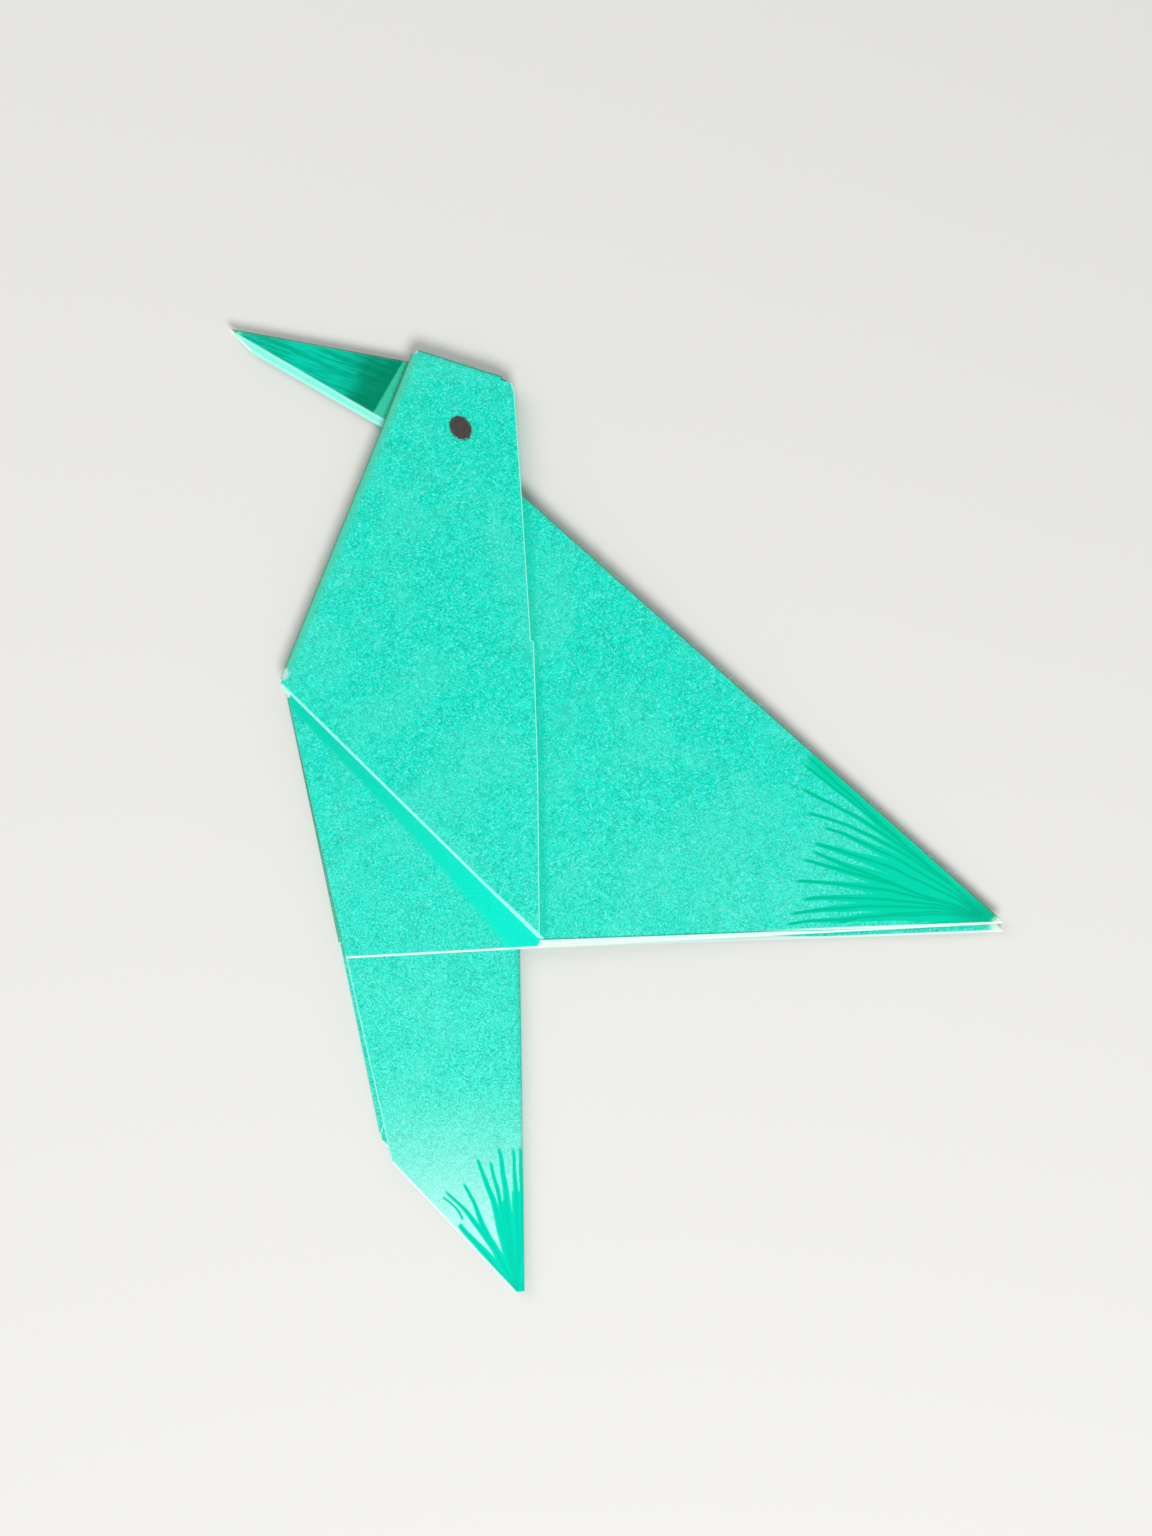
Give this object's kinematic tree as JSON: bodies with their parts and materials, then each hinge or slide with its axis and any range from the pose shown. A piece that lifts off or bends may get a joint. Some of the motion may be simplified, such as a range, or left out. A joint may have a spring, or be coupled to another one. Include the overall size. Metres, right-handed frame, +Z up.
{
  "type": "origami hummingbird",
  "caption": "Flat hummingbird folded from a square of paper, with a long beak, a slanted wing and a pointed tail, lying on its side as a decoration.",
  "frame": {"origin": "middle of the underside of the folded bird's box, on the surface that it lies on", "axes": "+X towards the wing tips, +Y from tail to head, +Z up, away from the surface that it lies on"},
  "size_m": [0.1242, 0.1544, 0.0036],
  "materials": {
    "craft_paper": "matte, finely mottled green craft paper with marker ink"
  },
  "bodies": {
    "root": {"folded_sheet": "craft_paper"}
  },
  "joints": []
}
